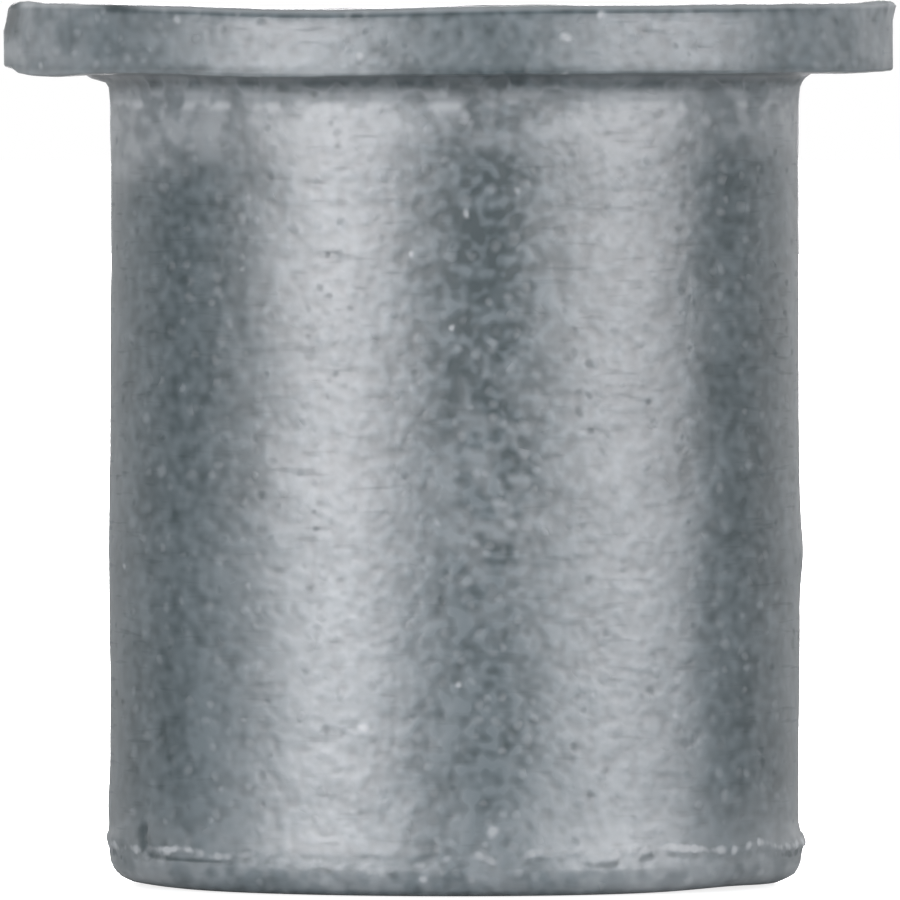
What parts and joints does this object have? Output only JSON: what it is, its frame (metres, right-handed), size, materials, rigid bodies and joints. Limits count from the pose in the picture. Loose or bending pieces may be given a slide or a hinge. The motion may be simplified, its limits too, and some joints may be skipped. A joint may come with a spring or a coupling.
{
  "type": "well nut",
  "caption": "Flanged rubber sleeve with a threaded brass nut moulded into its lower end; it swells behind a panel as its screw is tightened.",
  "frame": {"origin": "centre of the base, on the axis of the screw", "axes": "+Z along the axis of the screw, from the base with the brass nut up to the flange; X and Y are free, because the part is round"},
  "size_m": [0.0164, 0.0164, 0.0162],
  "materials": {
    "neoprene": "satin blue-grey moulded rubber, finely speckled, with a chalky bloom",
    "brass": "turned, slightly dulled"
  },
  "bodies": {
    "root": {"rubber_sleeve": "neoprene", "brass_insert": "brass"}
  },
  "joints": []
}
